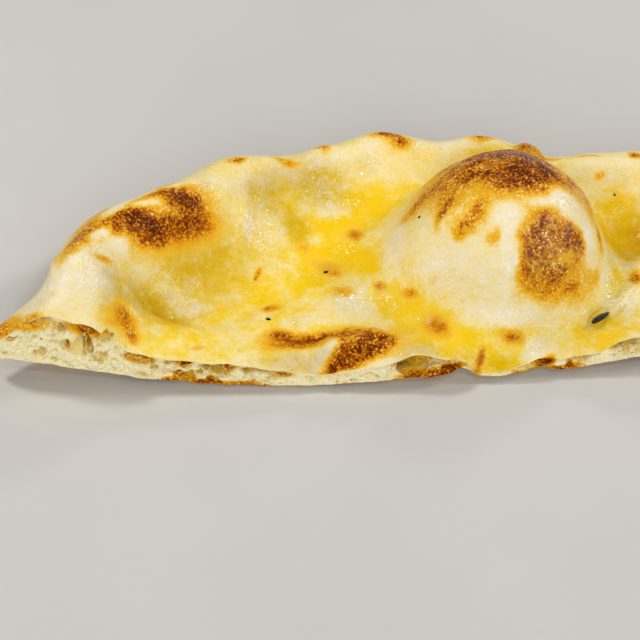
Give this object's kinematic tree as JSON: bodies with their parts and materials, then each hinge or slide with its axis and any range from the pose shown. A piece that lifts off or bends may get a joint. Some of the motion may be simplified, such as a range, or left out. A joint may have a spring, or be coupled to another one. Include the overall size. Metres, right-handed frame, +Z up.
{
  "type": "naan bread half",
  "caption": "Lengthwise half of a small teardrop naan with a puffed rim, a tall round bubble, a torn crumb face along its cut edge and nigella seeds.",
  "frame": {"origin": "centre of the bounding box in plan, on the surface that the bread lies on", "axes": "+X along the cut edge from the pointed tip to the round end, +Y back from the cut edge to the baked edge, +Z up"},
  "size_m": [0.1274, 0.0458, 0.0188],
  "materials": {
    "crust": "baked dough, pale cream to butter yellow with toasted golden to dark brown patches, glossy with butter on top, torn ivory crumb on the cut",
    "nigella": "black nigella seed, finely ridged, satin"
  },
  "bodies": {
    "root": {"naan": "crust"}
  },
  "joints": []
}
